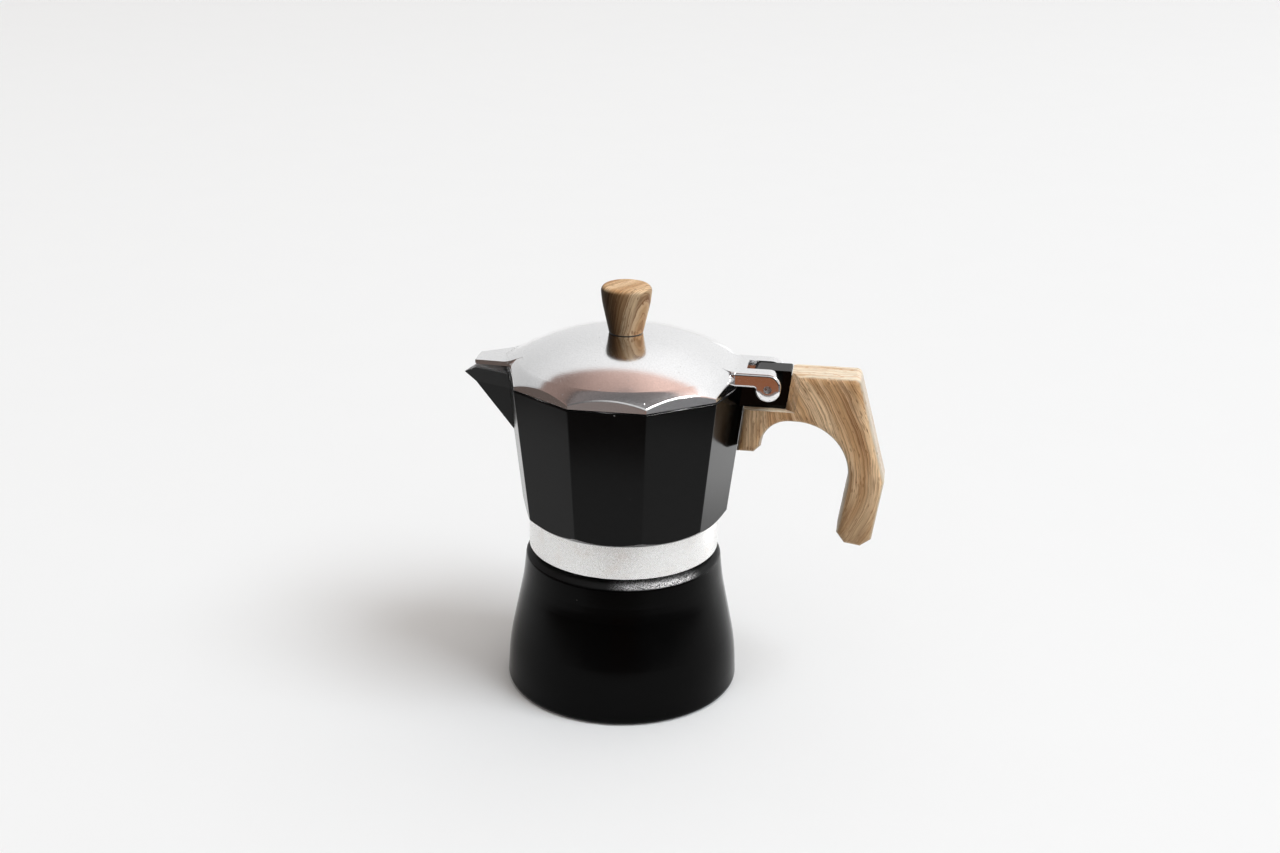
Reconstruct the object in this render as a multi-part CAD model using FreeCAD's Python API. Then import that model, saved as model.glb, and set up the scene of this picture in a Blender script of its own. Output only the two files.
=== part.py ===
import FreeCAD, Part
import math
import os

from FreeCAD import Vector

# Moka pot for about three small cups, in millimetres.
# The origin is the centre of the boiler's base. +Z is up, +X points to the handle and -X to the spout.

# Boiler
neck_bore_radius = 28.8
neck_wall = 2.9
neck_height = 12.0
neck_edge_round = 0.6
shoulder_height = 55.5
shoulder_round = 3.0
shoulder_lip = 1.05        # how far the shoulder stands out past the band
waist_step = 1.3           # waist's radius past the shoulder's
waist_height = 43.0
waist_round = 60.0
belly_step = 7.0           # belly's radius past the shoulder's
belly_height = 15.0
belly_round = 90.0
base_step = 7.7            # foot's radius past the shoulder's
base_round = 2.2
boiler_wall = 3.2
boiler_floor = 3.6
boiler_floor_round = 6.0

# Thread between the boiler's neck and the collector's skirt
thread_pitch = 3.0
thread_depth = 0.5 * thread_pitch
thread_crest = 0.3 * thread_pitch
thread_flank = 22.0        # degrees from square
thread_clearance = 0.3
thread_run_in = 2.7        # plain neck below the thread
thread_run_out = 1.8       # plain neck above the thread
thread_end_room = 0.9      # groove past the thread's upper end
thread_bury = 0.3

# Funnel, screen, gasket and filter plate
funnel_sheet = 1.0
funnel_clearance = 0.3
flange_thickness = 1.2
flange_inset = 0.7         # flange's edge inside the neck's outer face
basket_depth = 21.0
basket_ledge = 1.5
cone_drop = 5.0
stem_radius = 5.2
stem_gap = 5.0             # stem's end above the boiler's floor
screen_thickness = 0.8
screen_clearance = 0.2
screen_hole_radius = 0.9
screen_hole_step = 5.6
screen_rings = 4
gasket_thickness = 3.2
gasket_bore_radius = 24.5
gasket_clearance = 0.3
plate_lap = 2.0            # how far the plate reaches over the gasket's lip
plate_thickness = 0.8
plate_clearance = 0.1
plate_hole_radius = 0.7
plate_hole_step = 4.4
plate_rings = 5

# Collector
facet_count = 10
skirt_gap = 1.9            # open gap between the boiler's shoulder and the skirt
band_wall = 3.35
band_step = 1.3            # band's top below the gasket's seat
band_edge = 0.4
band_flare = 40.0          # degrees, slope of the turned face above the band
facet_foot_step = 3.05     # corner radius at the band's top, past the band
facet_flare = 6.6          # corner radius gained from the band to the rim
facet_round = 1.0
rim_round = 0.5
collector_height = 55.8    # from the band's top to the rim
collector_wall = 2.8
floor_thickness = 4.5
floor_round = 8.0
under_dome_rise = 4.6      # hollow under the floor, above the filter plate
column_boss_radius = 9.5

# Riser column
column_spigot_radius = 5.0
column_bore_radius = 3.5
column_foot_radius = 7.5
column_top_radius = 5.2
column_height = 37.0       # above the floor's boss
column_slot_width = 4.0
column_slot_height = 6.0
column_roof = 3.6

# Spout
spout_drop = 25.4          # spout's root below the rim
spout_half_angle = 21.5    # degrees, seen from above
spout_slope = 51.8         # degrees, ridge under the spout
spout_bend_drop = 6.8      # where the ridge bends outwards, below the rim
spout_bend_slope = 40.0    # degrees, ridge under the lip
spout_wall = 4.8           # along the middle of the spout
spout_lip_start = 11.0     # start of the lip's fall, past the corner
spout_bury = 3.0           # depth of the spout's root in the wall
spout_lip_fall = 31.0      # degrees

# Lid
lid_gap = 0.4
lid_inset = 0.2            # lid's corners inside the collector's
lid_edge_height = 6.55     # from the lid's rim to the roll-off circle
lid_roll = 5.3             # roll-off circle inside the lid's corners
lid_roll_lead = 1.2        # straight-on run of the crown into the roll-off
lid_roll_drop = 6.5        # fall of the roll-off, to just past the corners
lid_roll_past = 1.0
lid_crown = 9.75           # height of the crown over the roll-off circle
crown_power = 2.3          # 2 is a plain bowl, and more is flatter in the middle
crown_steps = 8
lid_wall = 1.8
lid_corner_round = 0.8
beak_length = 11.2         # past the lid's corner
beak_root_rise = 4.45
beak_tip_rise = 3.2
beak_thickness = 1.7
beak_root_half_width = 8.6
beak_tip_half_width = 4.7
beak_corner_round = 1.6
wing_blend_radius = 9.0    # hollow between the crown and the beak or the tab
wing_blend_reach = 2.0     # start of that hollow inside the roll-off circle
wing_lift = 0.05
wing_edge_round = 0.6
tab_rise = 6.3
tab_thickness = 2.2

# Hinge
hinge_reach = 8.3          # pin's axis past the collector's corner
hinge_rise = 0.8           # pin's axis above the rim
pin_radius = 1.5
pin_clearance = 0.05       # in the lug
pin_press = 0.01           # in the arms
pin_recess = 1.0
pin_end_round = 0.4
arm_width = 6.4
arm_clearance = 0.35       # between an arm and the lug
arm_eye_radius = 4.9
arm_bar_rise = 0.8         # underside of the arm's bar above the lid's rim
arm_edge_round = 1.0
arm_corner_round = 0.35    # between the bar and the eye
notch_gap = 2.4            # between the tab and the lug's front

# Lug and tang
lug_half_width = 4.6
lug_front = 6.0            # lug's front face before the pin's axis
lug_front_round = 2.5
lug_back = 6.6             # lug's back face past the pin's axis, at its foot
lug_lean = 1.8             # how far the back face leans back
lug_drop = 9.2             # lug's underside below the pin's axis
lug_step = 0.3             # lug's top below the tab's
lug_edge_round = 0.8
lug_root = 8.0             # depth in the collector's wall
tang_half_width = 3.0
tang_length = 16.0
tang_margin = 2.2          # tang's underside above the lug's
tang_height = 8.5
tang_clearance = 0.15

# Handle
handle_half_width = 8.4
handle_round = 3.2
handle_step = 0.5          # handle's top below the lug's
handle_clearance = 0.2
handle_top_length = 25.2
handle_top_round = 2.5
handle_length = 68.0
handle_web = 18.8          # from the top to the crown of the arch
arch_back_radius = 20.6
arch_front_radius = 10.4
arch_flat = 2.2            # straight crown between the two rounds of the arch
arch_offset = 2.0          # end of that crown past the handle's front
grip_lean = 8.4            # degrees
grip_width = 13.7
grip_elbow_drop = 40.5     # elbow of the back below the top
grip_elbow_round = 2.0
toe_chamfer = 3.6
foot_chamfer = 2.6
cheek_chamfer = 3.6        # length of the taper towards the lug

# Fasteners
handle_screw_radius = 2.0
handle_screw_head_radius = 3.6
handle_screw_head = 2.2
handle_screw_reach = 7.0   # depth of the screw in the tang
handle_screw_offset = 7.5  # screw's axis past the handle's front
handle_screw_sink = 0.6    # head inside the arch
handle_washer_radius = 4.2
handle_washer_thickness = 0.6
knob_screw_radius = 1.9
knob_screw_head_radius = 3.6
knob_screw_head = 2.2
knob_screw_reach = 10.0
screw_clearance = 0.05
head_clearance = 0.3
slot_width = 1.0
slot_depth = 1.0

# Knob
knob_seat_radius = 6.4
knob_washer_radius = 6.2
knob_washer_thickness = 0.3
knob_base_radius = 6.5
knob_side_radius = 9.2
knob_side_height = 12.0
knob_side_round = 40.0
knob_top_radius = 9.8
knob_height = 18.1
knob_edge_round = 2.2
knob_base_round = 0.4

# Safety valve
valve_height = 37.0
boss_radius = 7.6
boss_rise = 2.2            # boss's face past the wall
valve_thread_radius = 4.0
valve_thread_clearance = 0.05
valve_washer_radius = 6.6
valve_washer_thickness = 0.8
valve_hex_flats = 11.0
valve_hex_thickness = 4.0
valve_nose_radius = 4.0
valve_nose_length = 3.2
valve_shank = 8.8          # under the hexagon
valve_seat_thickness = 1.8
valve_seat_radius = 1.5
valve_bore_radius = 2.6
valve_cap_thickness = 1.4
valve_cap_clearance = 0.02
plunger_stem_radius = 1.15
plunger_clearance = 0.08
plunger_head_radius = 2.2
plunger_head_thickness = 1.2
plunger_tip = 1.2          # stem past the cap
plunger_tip_round = 0.5
seal_thickness = 0.6
spring_wire_radius = 0.28
spring_mean_radius = 1.85
spring_turns = 6
spring_gap = 0.05          # at each end

# Heights
neck_top = shoulder_height + neck_height
funnel_top = neck_top + flange_thickness
seat_height = funnel_top + gasket_thickness
skirt_bottom = shoulder_height + skirt_gap
band_top = seat_height - band_step
rim_height = band_top + collector_height
lid_bottom = rim_height + lid_gap
roll_height = lid_bottom + lid_edge_height
lid_apex = roll_height + lid_crown
tab_top = lid_bottom + tab_rise
pin_height = rim_height + hinge_rise
lug_top = tab_top - lug_step
lug_bottom = pin_height - lug_drop
handle_top = lug_top - handle_step
arch_top = handle_top - handle_web
under_dome_top = seat_height + under_dome_rise
floor_height = seat_height + floor_thickness
boss_height = floor_height + under_dome_rise
foot_bottom = arch_top - arch_front_radius - foot_chamfer
tang_bottom = lug_bottom + tang_margin
thread_start = shoulder_height + thread_run_in
thread_end = neck_top - thread_run_out
spout_root = rim_height - spout_drop
spout_bend = rim_height - spout_bend_drop

# Radii
neck_radius = neck_bore_radius + neck_wall
crest_radius = neck_radius + thread_depth
skirt_bore_radius = neck_radius + thread_clearance
groove_radius = crest_radius + thread_clearance
band_radius = groove_radius + band_wall
shoulder_radius = band_radius + shoulder_lip
waist_radius = shoulder_radius + waist_step
belly_radius = shoulder_radius + belly_step
base_radius = shoulder_radius + base_step
facet_foot_radius = band_radius + facet_foot_step
rim_radius = facet_foot_radius + facet_flare
lid_radius = rim_radius - lid_inset
roll_radius = lid_radius - lid_roll
gasket_radius = skirt_bore_radius - gasket_clearance
plate_radius = gasket_bore_radius + plate_lap
basket_radius = neck_bore_radius - funnel_clearance
basket_inner_radius = basket_radius - funnel_sheet

# Places along X
pin_x = rim_radius + hinge_reach
lug_end = pin_x + lug_back
arm_inner = lug_half_width + arm_clearance
arm_outer = arm_inner + arm_width
handle_front = lug_end + lug_lean + handle_clearance
handle_screw_x = handle_front + handle_screw_offset
handle_screw_face = arch_top + handle_screw_sink + handle_screw_head
screw_tip = tang_bottom + handle_screw_reach

# Faces along the safety valve's axis, counted outwards from the boss
hex_base = valve_washer_thickness
hex_top = hex_base + valve_hex_thickness
nose_end = hex_top + valve_nose_length
shank_end = hex_base - valve_shank
seat_face = shank_end + valve_seat_thickness
head_base = seat_face + seal_thickness
head_top = head_base + plunger_head_thickness
cap_base = nose_end - valve_cap_thickness

OVERRUN = 10.0
TINY = 1e-6
ORIGIN = Vector()
AXIS = Vector(0, 0, 1)


def upright(point):
    return Vector(point.x, 0, point.y)


def level(point):
    return Vector(point.x, point.y, 0)


def rounded_wire(corners, place):
    """Closed wire through (u, v, round) corners; place turns a flat point into a point in space."""
    bends = []
    for index, (u, v, radius) in enumerate(corners):
        here = Vector(u, v, 0)
        back = Vector(*corners[index - 1][:2], 0) - here
        ahead = Vector(*corners[(index + 1) % len(corners)][:2], 0) - here
        half = back.getAngle(ahead) / 2
        back.normalize()
        ahead.normalize()
        reach = radius / math.tan(half)
        inwards = (back + ahead).normalize() if radius else Vector()
        centre = here + inwards * (radius / math.sin(half))
        bends.append((here + back * reach, centre - inwards * radius, here + ahead * reach))
    edges = []
    for index, (start, middle, end) in enumerate(bends):
        last_end = bends[index - 1][2]
        if last_end.distanceToPoint(start) > TINY:
            edges.append(Part.makeLine(place(last_end), place(start)))
        if start.distanceToPoint(end) > TINY:
            edges.append(Part.Arc(place(start), place(middle), place(end)).toShape())
    return Part.Wire(edges)


def turned(corners):
    """Solid of revolution about Z from (radius, height, round) corners."""
    return Part.Face(rounded_wire(corners, upright)).revolve(ORIGIN, AXIS, 360)


def plate(corners, low_y, high_y):
    """Upright plate between two values of Y from (x, z, round) corners."""
    face = Part.Face(rounded_wire(corners, upright))
    face.translate(Vector(0, low_y, 0))
    return face.extrude(Vector(0, high_y - low_y, 0))


def prism(corners, bottom, top):
    """Upright prism from (x, y, round) corners."""
    face = Part.Face(rounded_wire(corners, level))
    face.translate(Vector(0, 0, bottom))
    return face.extrude(Vector(0, 0, top - bottom))


def block(low, high):
    return Part.makeBox(*(high - low), low)


def rod(radius, bottom, top, x=0):
    return Part.makeCylinder(radius, top - bottom, Vector(x, 0, bottom))


def hinge_rod(radius, half_length):
    """Rod along Y on the hinge's axis."""
    start = Vector(pin_x, -half_length, pin_height)
    return Part.makeCylinder(radius, 2 * half_length, start, Vector(0, 1, 0))


def stacked(rings):
    """Solid with flat faces between rings of points, which run anticlockwise seen from above."""
    faces = [Part.Face(Part.makePolygon(rings[0][::-1] + rings[0][-1:]))]
    for low, high in zip(rings, rings[1:]):
        for index, point in enumerate(low):
            last = index - 1
            corners = [low[last], point, high[index], high[last], low[last]]
            faces.append(Part.Face(Part.makePolygon(corners)))
    faces.append(Part.Face(Part.makePolygon(rings[-1] + rings[-1][:1])))
    return Part.makeSolid(Part.makeShell(faces))


def facet_ring(radius, height):
    """Corners of a level polygon, the first of them on +X."""
    angles = [2 * math.pi * i / facet_count for i in range(facet_count)]
    return [Vector(radius * math.cos(angle), radius * math.sin(angle), height) for angle in angles]


def faceted(low_radius, bottom, high_radius, top):
    return stacked([facet_ring(low_radius, bottom), facet_ring(high_radius, top)])


def rounded_facets(low_radius, bottom, high_radius, top, radius):
    """Faceted solid with its standing edges rounded."""
    solid = faceted(low_radius, bottom, high_radius, top)
    standing = [edge for edge in solid.Edges if edge.BoundBox.ZLength > (top - bottom) / 2]
    return solid.makeFillet(radius, standing)


def corner_step(wall):
    """Step of a corner's radius for a wall measured square to the facets."""
    return wall / math.cos(math.pi / facet_count)


def facet_corner_radius(height):
    """Corner radius of the collector's outside at a height."""
    return facet_foot_radius + facet_flare * (height - band_top) / collector_height


def dome_height(radius):
    return lid_apex - lid_crown * (radius / roll_radius) ** crown_power


def dome_slope(radius):
    return -crown_power * lid_crown / roll_radius * (radius / roll_radius) ** (crown_power - 1)


knob_seat = dome_height(knob_seat_radius)
knob_base = knob_seat + knob_washer_thickness


def thread_half_width(radius, grow):
    return thread_crest / 2 + (crest_radius - radius) * math.tan(math.radians(thread_flank)) + grow


def thread_ridge(inner, outer, grow, low, high):
    """Helical ridge between two radii, wider by grow at each flank than the boiler's thread."""
    inner_half = thread_half_width(inner, grow)
    outer_half = thread_half_width(outer, grow)
    corners = [
        Vector(inner, 0, -inner_half),
        Vector(outer, 0, -outer_half),
        Vector(outer, 0, outer_half),
        Vector(inner, 0, inner_half),
        Vector(inner, 0, -inner_half),
    ]
    path = Part.Wire(Part.makeHelix(thread_pitch, high - low, inner))
    ridge = path.makePipeShell([Part.makePolygon(corners)], True, True)
    ridge.translate(Vector(0, 0, low))
    return ridge


def hole_rings(radius, step, rings, bottom, top):
    """Straight holes in rings, with six more holes on each ring than on the last."""
    tools = [rod(radius, bottom - OVERRUN, top + OVERRUN)]
    for ring in range(1, rings + 1):
        for index in range(6 * ring):
            angle = 2 * math.pi * index / (6 * ring)
            tool = rod(radius, bottom - OVERRUN, top + OVERRUN)
            tool.translate(Vector(ring * step * math.cos(angle), ring * step * math.sin(angle), 0))
            tools.append(tool)
    return Part.makeCompound(tools)


def valve_wall_radius():
    """Radius of the boiler's wall at the valve."""
    share = (valve_height - belly_height) / (waist_height - belly_height)
    return belly_radius + share * (waist_radius - belly_radius)


def on_valve(shape):
    """Moves a piece modelled on Z, with 0 at the boss's face, to the valve's place at the back."""
    shape.rotate(ORIGIN, Vector(1, 0, 0), -90)
    shape.translate(Vector(0, valve_wall_radius() + boss_rise, valve_height))
    return shape


def make_boiler():
    vessel = turned([
        (0, 0, 0),
        (base_radius, 0, base_round),
        (belly_radius, belly_height, belly_round),
        (waist_radius, waist_height, waist_round),
        (shoulder_radius, shoulder_height, shoulder_round),
        (neck_radius, shoulder_height, neck_edge_round),
        (neck_radius, neck_top, neck_edge_round),
        (neck_bore_radius, neck_top, neck_edge_round),
        (neck_bore_radius, shoulder_height - shoulder_round, neck_edge_round),
        (waist_radius - boiler_wall, waist_height, 0),
        (belly_radius - boiler_wall, belly_height, belly_round - boiler_wall),
        (base_radius - boiler_wall, boiler_floor, boiler_floor_round),
        (0, boiler_floor, 0),
    ])
    boss = on_valve(rod(boss_radius, -boss_rise - boiler_wall, 0))
    hole = on_valve(rod(valve_thread_radius + valve_thread_clearance, shank_end - OVERRUN, OVERRUN))
    thread = thread_ridge(neck_radius - thread_bury, crest_radius, 0, thread_start, thread_end)
    return vessel.fuse(boss).cut(hole).fuse(thread)


def make_funnel():
    ledge = funnel_top - basket_depth
    cone_foot = ledge - cone_drop
    stem_end = boiler_floor + stem_gap
    stem_bore = stem_radius - funnel_sheet
    flange_radius = neck_radius - flange_inset
    return turned([
        (basket_inner_radius, funnel_top, 0),
        (flange_radius, funnel_top, 0),
        (flange_radius, neck_top, 0),
        (basket_radius, neck_top, 0),
        (basket_radius, ledge - funnel_sheet, funnel_sheet),
        (stem_radius, cone_foot - funnel_sheet, funnel_sheet),
        (stem_radius, stem_end, 0),
        (stem_bore, stem_end, 0),
        (stem_bore, cone_foot, funnel_sheet),
        (basket_inner_radius - basket_ledge, ledge, 0),
        (basket_inner_radius, ledge, 0),
    ])


def make_funnel_screen():
    bottom = funnel_top - basket_depth
    top = bottom + screen_thickness
    disc = rod(basket_inner_radius - screen_clearance, bottom, top)
    return disc.cut(hole_rings(screen_hole_radius, screen_hole_step, screen_rings, bottom, top))


def make_gasket():
    lip_top = seat_height - plate_thickness
    rebate = plate_radius + plate_clearance
    return turned([
        (gasket_bore_radius, funnel_top, 0),
        (gasket_radius, funnel_top, 0),
        (gasket_radius, seat_height, 0),
        (rebate, seat_height, 0),
        (rebate, lip_top, 0),
        (gasket_bore_radius, lip_top, 0),
    ])


def make_filter_plate():
    bottom = seat_height - plate_thickness
    disc = rod(plate_radius, bottom, seat_height)
    return disc.cut(hole_rings(plate_hole_radius, plate_hole_step, plate_rings, bottom, seat_height))


def spout_ridge_x(height):
    """Place of the ridge under the spout, straight at first and then flared."""
    straight = min(height, spout_bend) - spout_root
    flared = max(height - spout_bend, 0)
    reach = straight / math.tan(math.radians(spout_slope))
    reach += flared / math.tan(math.radians(spout_bend_slope))
    return -facet_corner_radius(spout_root) - reach


def spout_wedge(shift, inner_x, top):
    """V-shaped wedge along the spout's ridge, moved by shift towards the pot and reaching in to inner_x."""
    rings = []
    for height in (spout_root - spout_bury, spout_bend, top):
        tip = spout_ridge_x(height) + shift
        width = (inner_x - tip) * math.tan(math.radians(spout_half_angle))
        corners = [(tip, 0), (inner_x, -width), (inner_x, width)]
        rings.append([Vector(x, y, height) for x, y in corners])
    return stacked(rings)


def spout_lip_cut():
    """Space above the spout's lip, which falls towards the tip."""
    start = -rim_radius - spout_lip_start
    far = start - spout_lip_start
    fall = spout_lip_start * math.tan(math.radians(spout_lip_fall))
    corners = [
        (start, rim_height, 0),
        (start, rim_height + OVERRUN, 0),
        (far, rim_height + OVERRUN, 0),
        (far, rim_height - fall, 0),
    ]
    return plate(corners, -rim_radius, rim_radius)


def collector_outside():
    facets = rounded_facets(facet_foot_radius, band_top, rim_radius, rim_height, facet_round)
    rim_edges = [edge for edge in facets.Edges if edge.BoundBox.ZMin > rim_height - TINY]
    facets = facets.makeFillet(rim_round, rim_edges)
    flare_height = rim_radius * math.tan(math.radians(band_flare))
    turned_face = turned([
        (0, band_top, 0),
        (band_radius, band_top, 0),
        (band_radius + rim_radius, band_top + flare_height, 0),
        (band_radius + rim_radius, rim_height + flare_height, 0),
        (0, rim_height + flare_height, 0),
    ])
    band = turned([
        (0, skirt_bottom, 0),
        (band_radius, skirt_bottom, band_edge),
        (band_radius, floor_height, 0),
        (0, floor_height, 0),
    ])
    return facets.common(turned_face).fuse(band)


def collector_inside():
    step = corner_step(collector_wall)
    top = rim_height + OVERRUN
    foot = facet_corner_radius(band_top) - step
    facets = faceted(foot, band_top, facet_corner_radius(top) - step, top)
    floor_edge = (facet_corner_radius(floor_height) - step) * math.cos(math.pi / facet_count)
    bowl = turned([
        (0, boss_height, 0),
        (column_boss_radius, boss_height, 0),
        (gasket_bore_radius, floor_height, 0),
        (floor_edge, floor_height, floor_round),
        (rim_radius + OVERRUN, rim_height, 0),
        (rim_radius + OVERRUN, top, 0),
        (0, top, 0),
    ])
    return facets.common(bowl)


def collector_underside():
    bore = turned([
        (0, skirt_bottom - OVERRUN, 0),
        (skirt_bore_radius, skirt_bottom - OVERRUN, 0),
        (skirt_bore_radius, seat_height, 0),
        (gasket_bore_radius, seat_height, 0),
        (column_spigot_radius, under_dome_top, 0),
        (column_spigot_radius, boss_height + OVERRUN, 0),
        (0, boss_height + OVERRUN, 0),
    ])
    start_half = thread_half_width(skirt_bore_radius, thread_clearance)
    turns_down = math.ceil((thread_start - skirt_bottom + start_half) / thread_pitch)
    groove = thread_ridge(
        skirt_bore_radius - thread_bury, groove_radius, thread_clearance,
        thread_start - turns_down * thread_pitch, thread_end + thread_end_room)
    return bore, groove


def lug_and_tang():
    lug = plate([
        (rim_radius - lug_root, lug_bottom, 0),
        (lug_end, lug_bottom, lug_edge_round),
        (lug_end + lug_lean, lug_top, lug_edge_round),
        (pin_x - lug_front, lug_top, lug_front_round),
        (pin_x - lug_front, rim_height - rim_round, 0),
        (rim_radius - lug_root, rim_height - rim_round, 0),
    ], -lug_half_width, lug_half_width)
    low = Vector(lug_end - lug_back, -tang_half_width, tang_bottom)
    high = Vector(lug_end + tang_length, tang_half_width, tang_bottom + tang_height)
    return lug.fuse(block(low, high))


def make_collector():
    solid = collector_outside()
    solid = solid.fuse(spout_wedge(0, -rim_radius / 2, rim_height))
    solid = solid.cut(spout_lip_cut())
    solid = solid.fuse(lug_and_tang())
    solid = solid.cut(collector_inside())
    solid = solid.cut(spout_wedge(spout_wall, -rim_radius / 2, rim_height + OVERRUN))
    for tool in collector_underside():
        solid = solid.cut(tool)
    solid = solid.cut(hinge_rod(pin_radius + pin_clearance, arm_outer))
    screw = rod(handle_screw_radius + screw_clearance, tang_bottom - OVERRUN, screw_tip, handle_screw_x)
    return solid.cut(screw)


def make_riser_column():
    top = boss_height + column_height
    roof = top - column_roof
    column = turned([
        (column_bore_radius, under_dome_top, 0),
        (column_spigot_radius - screw_clearance, under_dome_top, 0),
        (column_spigot_radius - screw_clearance, boss_height, 0),
        (column_foot_radius, boss_height, 0),
        (column_top_radius, top, column_roof),
        (0, top, 0),
        (0, roof, 0),
        (column_bore_radius, roof, 0),
    ])
    low = Vector(-column_slot_width / 2, -column_foot_radius, roof - column_slot_height)
    high = Vector(column_slot_width / 2, column_foot_radius, roof)
    return column.cut(block(low, high))


def crown(drop, base):
    """Lid's crown with its roll-off, lowered by drop, solid down to base."""
    def point(radius, height):
        return Vector(radius, 0, height - drop)

    step = (roll_radius - knob_seat_radius) / crown_steps
    radii = [knob_seat_radius + i * step for i in range(crown_steps + 1)]
    curve = [point(radius, dome_height(radius)) for radius in radii]
    dome = Part.BSplineCurve()
    dome.interpolate(
        Points=curve,
        InitialTangent=Vector(1, 0, dome_slope(knob_seat_radius)),
        FinalTangent=Vector(1, 0, dome_slope(roll_radius)))
    lead = point(roll_radius + lid_roll_lead, roll_height + dome_slope(roll_radius) * lid_roll_lead)
    end = point(lid_radius + lid_roll_past, roll_height - lid_roll_drop)
    roll = Part.BezierCurve()
    roll.setPoles([curve[-1], lead, end])
    middle = Vector(0, 0, curve[0].z)
    edges = [
        Part.makeLine(middle, curve[0]),
        dome.toShape(),
        roll.toShape(),
        Part.makeLine(end, Vector(end.x, 0, base)),
        Part.makeLine(Vector(end.x, 0, base), Vector(0, 0, base)),
        Part.makeLine(Vector(0, 0, base), middle),
    ]
    return Part.Face(Part.Wire(edges)).revolve(ORIGIN, AXIS, 360)


def wing(near_height, far_radius, far_height, thickness):
    """Turned plate that leaves the crown in a hollow round and runs out to far_radius.

    near_height is its top at the lid's corners and far_height its top at its end.
    """
    fall = (far_height - near_height) / (far_radius - lid_radius)
    start = roll_radius - wing_blend_reach
    slope = dome_slope(start)
    start_height = dome_height(start) + wing_lift
    meet = (start_height - slope * start - near_height + fall * lid_radius) / (fall - slope)
    inner = start - thickness
    under_inner = near_height + fall * (inner - lid_radius) - thickness
    return turned([
        (inner, under_inner, 0),
        (inner, start_height - thickness, 0),
        (start, start_height, 0),
        (meet, start_height + slope * (meet - start), wing_blend_radius),
        (far_radius, far_height, wing_edge_round),
        (far_radius, far_height - thickness, wing_edge_round),
    ])


def beak():
    tip = lid_radius + beak_length
    top = wing(lid_bottom + beak_root_rise, tip, lid_bottom + beak_tip_rise, beak_thickness)
    taper = (beak_root_half_width - beak_tip_half_width) / beak_length
    inner = roll_radius / 2
    inner_half_width = beak_tip_half_width + taper * (tip - inner)
    outline = prism([
        (-inner, -inner_half_width, 0),
        (-inner, inner_half_width, 0),
        (-tip, beak_tip_half_width, beak_corner_round),
        (-tip, -beak_tip_half_width, beak_corner_round),
    ], lid_bottom, lid_apex)
    return top.common(outline)


def tab():
    top = wing(tab_top, pin_x + arm_eye_radius, tab_top, tab_thickness)
    half_width = arm_outer - arm_edge_round
    return top.common(block(Vector(0, -half_width, lid_bottom), Vector(pin_x, half_width, lid_apex)))


def arm(side):
    """One hinge arm: a bar out of the lid that ends in an eye round the pin."""
    bar_bottom = lid_bottom + arm_bar_rise
    eye_bottom = pin_height - arm_eye_radius
    solid = plate([
        (roll_radius, bar_bottom, 0),
        (roll_radius, tab_top, 0),
        (pin_x + arm_eye_radius, tab_top, arm_eye_radius),
        (pin_x + arm_eye_radius, eye_bottom, arm_eye_radius),
        (pin_x - arm_eye_radius, eye_bottom, arm_eye_radius),
        (pin_x - arm_eye_radius, bar_bottom, arm_corner_round),
    ], min(side * arm_inner, side * arm_outer), max(side * arm_inner, side * arm_outer))
    face_edges = [
        edge for edge in solid.Edges
        if edge.BoundBox.YLength < TINY and edge.CenterOfMass.y * side > arm_outer - TINY
        and edge.BoundBox.XMax > roll_radius + TINY]
    return solid.makeFillet(arm_edge_round, face_edges)


def make_lid():
    top = lid_apex + OVERRUN
    facets = rounded_facets(lid_radius, lid_bottom, lid_radius, top, lid_corner_round)
    solid = crown(0, lid_bottom - OVERRUN).common(facets)
    for piece in (beak(), tab(), arm(-1), arm(1)):
        solid = solid.fuse(piece)
    inner_radius = lid_radius - corner_step(lid_wall)
    inner_facets = faceted(inner_radius, lid_bottom - OVERRUN, inner_radius, top)
    solid = solid.cut(crown(lid_wall, lid_bottom - OVERRUN).common(inner_facets))
    notch_front = pin_x - lug_front - notch_gap
    notch_low = Vector(notch_front, -arm_inner, lid_bottom - OVERRUN)
    solid = solid.cut(block(notch_low, Vector(notch_front + OVERRUN + hinge_reach, arm_inner, top)))
    solid = solid.cut(hinge_rod(pin_radius + pin_press, arm_outer + OVERRUN))
    return solid.cut(rod(knob_screw_radius + screw_clearance, lid_bottom, top)).removeSplitter()


def make_hinge_pin():
    half_length = arm_outer - pin_recess
    pin = hinge_rod(pin_radius, half_length)
    ends = [edge for edge in pin.Edges if edge.BoundBox.YLength < TINY]
    return pin.makeFillet(pin_end_round, ends)


def screw(head_radius, head_height, shank_radius, shank_length):
    """Slotted screw that stands on its head at 0, with its point up."""
    solid = turned([
        (0, 0, 0),
        (head_radius, 0, head_height / 2),
        (head_radius, head_height, 0),
        (shank_radius, head_height, 0),
        (shank_radius, head_height + shank_length, shank_radius / 2),
        (0, head_height + shank_length, 0),
    ])
    low = Vector(-head_radius, -slot_width / 2, -TINY)
    return solid.cut(block(low, Vector(head_radius, slot_width / 2, slot_depth)))


def make_knob_washer():
    washer = rod(knob_washer_radius, knob_seat, knob_base)
    return washer.cut(rod(knob_screw_radius + screw_clearance, knob_seat, knob_base))


def make_knob():
    solid = turned([
        (0, knob_base, 0),
        (knob_base_radius, knob_base, knob_base_round),
        (knob_side_radius, knob_base + knob_side_height, knob_side_round),
        (knob_top_radius, knob_base + knob_height, knob_edge_round),
        (0, knob_base + knob_height, 0),
    ])
    hole = rod(knob_screw_radius + screw_clearance, knob_base, knob_base + knob_screw_reach + head_clearance)
    return solid.cut(hole)


def make_knob_screw():
    bearing = knob_seat - lid_wall
    length = knob_base + knob_screw_reach - bearing
    solid = screw(knob_screw_head_radius, knob_screw_head, knob_screw_radius, length)
    solid.translate(Vector(0, 0, bearing - knob_screw_head))
    return solid


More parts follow.
